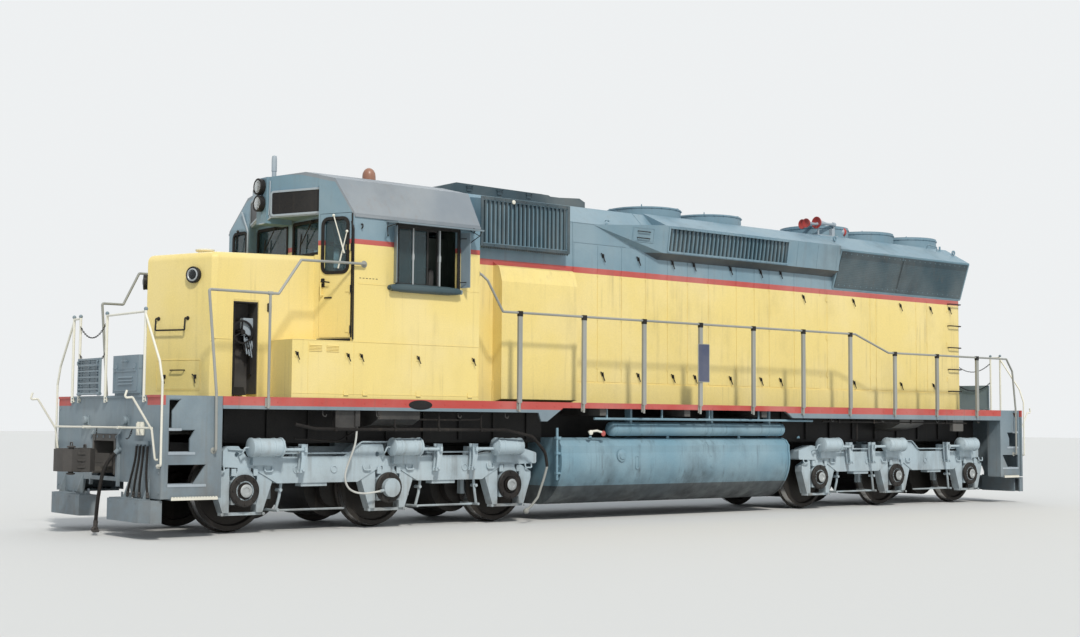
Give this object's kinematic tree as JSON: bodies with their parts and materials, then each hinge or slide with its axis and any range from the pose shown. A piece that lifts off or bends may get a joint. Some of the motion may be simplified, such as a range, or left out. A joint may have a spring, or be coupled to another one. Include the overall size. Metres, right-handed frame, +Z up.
{
  "type": "diesel locomotive",
  "caption": "Six-axle road diesel locomotive with a cab behind a short nose, a full-length hood with roof fans and flared radiators, swivelling trucks, handrails and knuckle couplers.",
  "frame": {"origin": "middle between the coupler faces and of the width, on the level that the wheel flanges reach", "axes": "+X to the rear, the nose and cab face -X; +Y to the locomotive's right side; +Z up"},
  "size_m": [18.5, 3.568, 5.0028],
  "materials": {
    "frame_grey": "satin, dusty",
    "tank_grey": "satin, dusty",
    "body_yellow": "satin, weathered",
    "roof_grey": "satin, weathered",
    "window_glass": "dark, glossy",
    "cab_green": "satin",
    "seat_vinyl": "matte",
    "grille_dark": "matte",
    "engine_grey": "oily",
    "black_steel": "satin",
    "fan_aluminium": "dull",
    "rail_grey": "satin",
    "rail_white": "satin",
    "rust": "rusty, rough",
    "truck_silver": "satin, dirty",
    "wheel_steel": "worn treads, dirty faces",
    "hose_rubber": "matte",
    "cable_white": "matte",
    "fitting_metal": "rough"
  },
  "bodies": {
    "carbody": {"air_intakes": "roof_grey", "air_reservoirs": "tank_grey", "brake_blister": "roof_grey", "brake_hose": "hose_rubber", "cab_fittings": "cab_green", "cab_floor": "cab_green", "cab_glass": "window_glass", "cab_roof": "roof_grey", "cab_seats": "seat_vinyl", "cab_shell": "body_yellow", "end_handrails": "rail_white", "exhaust_hump": "roof_grey", "fan_housings": "roof_grey", "fuel_tank": "tank_grey", "grille_fins": "grille_dark", "hand_brake": "black_steel", "horns_and_aerial": "roof_grey", "hose_fittings": "fitting_metal", "jumper_hose_1": "hose_rubber", "jumper_hose_2": "hose_rubber", "jumper_hose_3": "hose_rubber", "jumper_hose_4": "hose_rubber", "lamps": "black_steel", "long_hood": "body_yellow", "pilot_front": "frame_grey", "pilot_rear": "frame_grey", "power_plant": "engine_grey", "radiator_housing": "roof_grey", "short_hood": "body_yellow", "side_handrails": "rail_grey", "underframe": "frame_grey", "walkway_boxes": "body_yellow", "window_awnings": "frame_grey"},
    "truck_front": {"truck_frame_front": "truck_silver", "truck_gear_front": "truck_silver", "truck_motors_front": "black_steel", "axle_cable": "cable_white"},
    "coupler_front": {"coupler_front": "rust"},
    "step_front": {"drop_step_front": "frame_grey"},
    "door_front": {"cab_door_front": "body_yellow"},
    "wheelset_1": {"wheelset_1": "wheel_steel"},
    "wheelset_2": {"wheelset_2": "wheel_steel"},
    "wheelset_3": {"wheelset_3": "wheel_steel"},
    "truck_rear": {"truck_frame_rear": "truck_silver", "truck_gear_rear": "truck_silver", "truck_motors_rear": "black_steel"},
    "coupler_rear": {"coupler_rear": "rust"},
    "step_rear": {"drop_step_rear": "frame_grey"},
    "door_rear": {"cab_door_rear": "body_yellow"},
    "wheelset_4": {"wheelset_4": "wheel_steel"},
    "wheelset_5": {"wheelset_5": "wheel_steel"},
    "wheelset_6": {"wheelset_6": "wheel_steel"},
    "fan_1": {"fan_rotor_1": "fan_aluminium"},
    "fan_2": {"fan_rotor_2": "fan_aluminium"},
    "fan_3": {"fan_rotor_3": "fan_aluminium"},
    "fan_4": {"fan_rotor_4": "fan_aluminium"},
    "fan_5": {"fan_rotor_5": "fan_aluminium"}
  },
  "joints": [
    {"name": "front_truck_swivel", "type": "hinge", "parent": "carbody", "child": "truck_front", "pos_m": [-5.244, 0, 1.198], "axis": [0, 0, 1], "range_deg": [-4, 4]},
    {"name": "rear_truck_swivel", "type": "hinge", "parent": "carbody", "child": "truck_rear", "pos_m": [5.424, 0, 1.198], "axis": [0, 0, 1], "range_deg": [-4, 4]},
    {"name": "wheelset_1_roll", "type": "hinge", "parent": "truck_front", "child": "wheelset_1", "pos_m": [-7.314, 0, 0.536], "axis": [0, 1, 0], "continuous": true},
    {"name": "wheelset_2_roll", "type": "hinge", "parent": "truck_front", "child": "wheelset_2", "pos_m": [-5.193, 0, 0.536], "axis": [0, 1, 0], "continuous": true},
    {"name": "wheelset_3_roll", "type": "hinge", "parent": "truck_front", "child": "wheelset_3", "pos_m": [-3.174, 0, 0.536], "axis": [0, 1, 0], "continuous": true},
    {"name": "wheelset_4_roll", "type": "hinge", "parent": "truck_rear", "child": "wheelset_4", "pos_m": [3.354, 0, 0.536], "axis": [0, 1, 0], "continuous": true},
    {"name": "wheelset_5_roll", "type": "hinge", "parent": "truck_rear", "child": "wheelset_5", "pos_m": [5.373, 0, 0.536], "axis": [0, 1, 0], "continuous": true},
    {"name": "wheelset_6_roll", "type": "hinge", "parent": "truck_rear", "child": "wheelset_6", "pos_m": [7.494, 0, 0.536], "axis": [0, 1, 0], "continuous": true},
    {"name": "fan_1_spin", "type": "hinge", "parent": "carbody", "child": "fan_1", "pos_m": [0.45, 0, 4.75], "axis": [0, 0, 1], "continuous": true},
    {"name": "fan_2_spin", "type": "hinge", "parent": "carbody", "child": "fan_2", "pos_m": [1.85, 0, 4.75], "axis": [0, 0, 1], "continuous": true},
    {"name": "fan_3_spin", "type": "hinge", "parent": "carbody", "child": "fan_3", "pos_m": [4.6, 0, 4.8], "axis": [0, 0, 1], "continuous": true},
    {"name": "fan_4_spin", "type": "hinge", "parent": "carbody", "child": "fan_4", "pos_m": [5.87, 0, 4.8], "axis": [0, 0, 1], "continuous": true},
    {"name": "fan_5_spin", "type": "hinge", "parent": "carbody", "child": "fan_5", "pos_m": [7.14, 0, 4.8], "axis": [0, 0, 1], "continuous": true},
    {"name": "cab_door_front_swing", "type": "hinge", "parent": "carbody", "child": "door_front", "pos_m": [-6.0206, -1.4582, 2.628], "axis": [0, 0, 1], "range_deg": [0, 62]},
    {"name": "cab_door_rear_swing", "type": "hinge", "parent": "carbody", "child": "door_rear", "pos_m": [-3.97, 1.454, 2.628], "axis": [0, 0, 1], "range_deg": [0, 88]},
    {"name": "drop_step_front_fold", "type": "hinge", "parent": "carbody", "child": "step_front", "pos_m": [-8.656, 0, 1.718], "axis": [0, -1, 0], "range_deg": [0, 88]},
    {"name": "drop_step_rear_fold", "type": "hinge", "parent": "carbody", "child": "step_rear", "pos_m": [8.656, 0, 1.718], "axis": [0, 1, 0], "range_deg": [0, 88]},
    {"name": "coupler_front_swing", "type": "hinge", "parent": "carbody", "child": "coupler_front", "pos_m": [-8.08, 0, 0.904], "axis": [0, 0, 1], "range_deg": [-7, 7]},
    {"name": "coupler_rear_swing", "type": "hinge", "parent": "carbody", "child": "coupler_rear", "pos_m": [8.08, 0, 0.904], "axis": [0, 0, 1], "range_deg": [-7, 7]}
  ]
}
